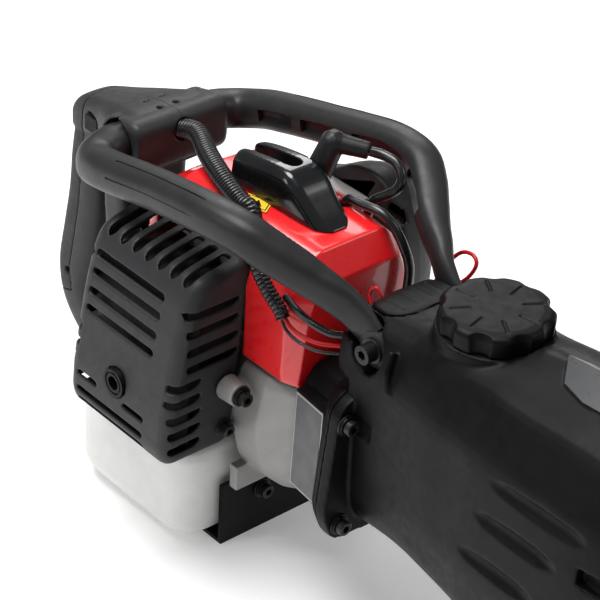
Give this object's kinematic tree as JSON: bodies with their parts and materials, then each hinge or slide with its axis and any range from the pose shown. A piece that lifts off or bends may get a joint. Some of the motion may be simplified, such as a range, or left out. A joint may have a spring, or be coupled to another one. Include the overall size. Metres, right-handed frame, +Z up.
{
  "type": "petrol demolition hammer",
  "caption": "Hand-held petrol breaker: engine with tank and silencer behind a hammer body, side bars, D-shaped rear grip and nose handle.",
  "frame": {"origin": "centre of the bounding box at ground level", "axes": "+X forward along the tool towards the chisel, +Z up, +Y to the left of the user behind it"},
  "size_m": [0.74, 0.2298, 0.2993],
  "materials": {
    "body_plastic": "satin black, fine moulded grain",
    "grip_plastic": "soft-touch charcoal",
    "bar_metal": "powder-coated dark grey",
    "cover_plastic": "matt dark grey, fine grain",
    "gloss_black": "gloss black",
    "red_plastic": "gloss red",
    "casting": "as-cast, bead blasted",
    "steel": "machined",
    "black_steel": "black-oxide fasteners and pressings",
    "muffler_steel": "heat-darkened",
    "cord": "black flexible sleeve",
    "red_wire": "red insulation",
    "tank_plastic": "translucent white",
    "filter": "pleated felt",
    "bulb": "clear soft bulb"
  },
  "bodies": {
    "frame": {"side_bar_right": "bar_metal", "bar_bolt_right": "black_steel", "side_bar_left": "bar_metal", "bar_bolt_left": "black_steel", "handle_shell_right": "grip_plastic", "handle_shell_left": "grip_plastic", "rear_grip_pad": "grip_plastic", "vent_flap": "body_plastic", "name_plate": "body_plastic", "hammer_body": "body_plastic", "adapter_housing": "body_plastic", "flange_bolt_1": "black_steel", "flange_bolt_2": "black_steel", "flange_bolt_3": "black_steel", "flange_bolt_4": "black_steel", "fan_housing": "casting", "housing_bolt": "black_steel", "crankcase": "casting", "cylinder": "casting", "spark_plug": "steel", "plug_boot": "cord", "muffler": "muffler_steel", "muffler_cover": "cover_plastic", "cover_bolt": "black_steel", "engine_shroud": "red_plastic", "plug_cover": "gloss_black", "carburettor": "casting", "air_filter_cover": "cover_plastic", "air_filter_element": "filter", "recoil_cover": "body_plastic", "fuel_tank": "tank_plastic", "tank_guard": "black_steel", "guard_bolt": "black_steel", "nose_collar": "body_plastic", "throttle_conduit": "cord", "throttle_cable": "cord", "stop_wire_red": "red_wire", "stop_wire_black": "cord", "wire_loop_near": "red_wire", "wire_loop_far": "red_wire", "ignition_lead": "cord", "coil_lead": "cord"},
    "trigger": {"throttle_trigger": "body_plastic"},
    "stop_button": {"stop_switch": "body_plastic"},
    "choke": {"choke_lever": "red_plastic"},
    "primer": {"primer_bulb": "bulb"},
    "starter_grip": {"pull_grip": "body_plastic"},
    "starter_pulley": {"recoil_pulley": "body_plastic"},
    "crank": {"crankshaft": "steel", "flywheel_fan": "casting"},
    "drive_shaft": {"clutch_drum": "steel"},
    "crown_wheel": {"crank_gear": "steel"},
    "piston": {"hammer_piston": "steel", "connecting_rod": "steel"},
    "striker": {"striker": "steel"},
    "service_cap": {"crank_cap": "body_plastic"},
    "tank_cap": {"fuel_cap": "body_plastic"},
    "retainer": {"tool_retainer": "black_steel"},
    "nose_handle": {"front_handle": "grip_plastic"}
  },
  "joints": [
    {"name": "trigger_squeeze", "type": "hinge", "parent": "frame", "child": "trigger", "pos_m": [-0.32, 0.00391, 0.20221], "axis": [0, 1, 0], "range_deg": [0, 14], "stiffness_Nm_per_rad": 0.12, "springref_deg": -8.59},
    {"name": "stop_press", "type": "slide", "parent": "frame", "child": "stop_button", "axis": [0, 1, 0], "range_m": [0, 0.0025], "stiffness_N_per_m": 400, "springref_m": -0.0015},
    {"name": "choke_turn", "type": "hinge", "parent": "frame", "child": "choke", "pos_m": [-0.21, 0.09191, 0.16721], "axis": [1, 0, 0], "range_deg": [-60, 0]},
    {"name": "primer_press", "type": "slide", "parent": "frame", "child": "primer", "axis": [0, 0, 1], "range_m": [0, 0.003], "stiffness_N_per_m": 300, "springref_m": -0.002},
    {"name": "starter_pull", "type": "slide", "parent": "frame", "child": "starter_grip", "axis": [0, 1, 0], "range_m": [0, 0.3], "stiffness_N_per_m": 30, "springref_m": -0.02},
    {"name": "starter_spin", "type": "hinge", "parent": "frame", "child": "starter_pulley", "pos_m": [-0.242, 0.00391, 0.11921], "axis": [-1, 0, 0], "range_deg": [0, 460]},
    {"name": "crank_spin", "type": "hinge", "parent": "frame", "child": "crank", "pos_m": [-0.147, 0.00391, 0.11921], "axis": [1, 0, 0], "continuous": true},
    {"name": "drive_spin", "type": "hinge", "parent": "frame", "child": "drive_shaft", "pos_m": [-0.002, 0.00391, 0.11921], "axis": [1, 0, 0], "continuous": true},
    {"name": "crown_spin", "type": "hinge", "parent": "frame", "child": "crown_wheel", "pos_m": [0.075, 0.00391, 0.12721], "axis": [0, 0, 1], "continuous": true},
    {"name": "piston_stroke", "type": "slide", "parent": "frame", "child": "piston", "axis": [1, 0, 0], "range_m": [-0.028, 0]},
    {"name": "striker_travel", "type": "slide", "parent": "frame", "child": "striker", "axis": [1, 0, 0], "range_m": [-0.005, 0.004]},
    {"name": "cap_unscrew", "type": "hinge", "parent": "frame", "child": "service_cap", "pos_m": [0.075, 0.00391, 0.25721], "axis": [0, 0, 1], "range_deg": [0, 180]},
    {"name": "fuel_cap_unscrew", "type": "hinge", "parent": "frame", "child": "tank_cap", "pos_m": [-0.211, 0.08591, 0.08321], "axis": [-0.1587, 0.6981, 0.6981], "range_deg": [0, 180]},
    {"name": "retainer_turn", "type": "hinge", "parent": "frame", "child": "retainer", "pos_m": [0.356, 0.00391, 0.17721], "axis": [1, 0, 0], "range_deg": [0, 60]},
    {"name": "handle_swivel", "type": "hinge", "parent": "frame", "child": "nose_handle", "pos_m": [0.303, 0.00391, 0.17721], "axis": [1, 0, 0], "range_deg": [-90, 90]}
  ],
  "couplings": [
    {"joint": "drive_spin", "follows": "crank_spin", "ratio": 1},
    {"joint": "crown_spin", "follows": "crank_spin", "ratio": 0.4118},
    {"joint": "starter_spin", "follows": "starter_pull", "rad_per_m": 26.3}
  ]
}
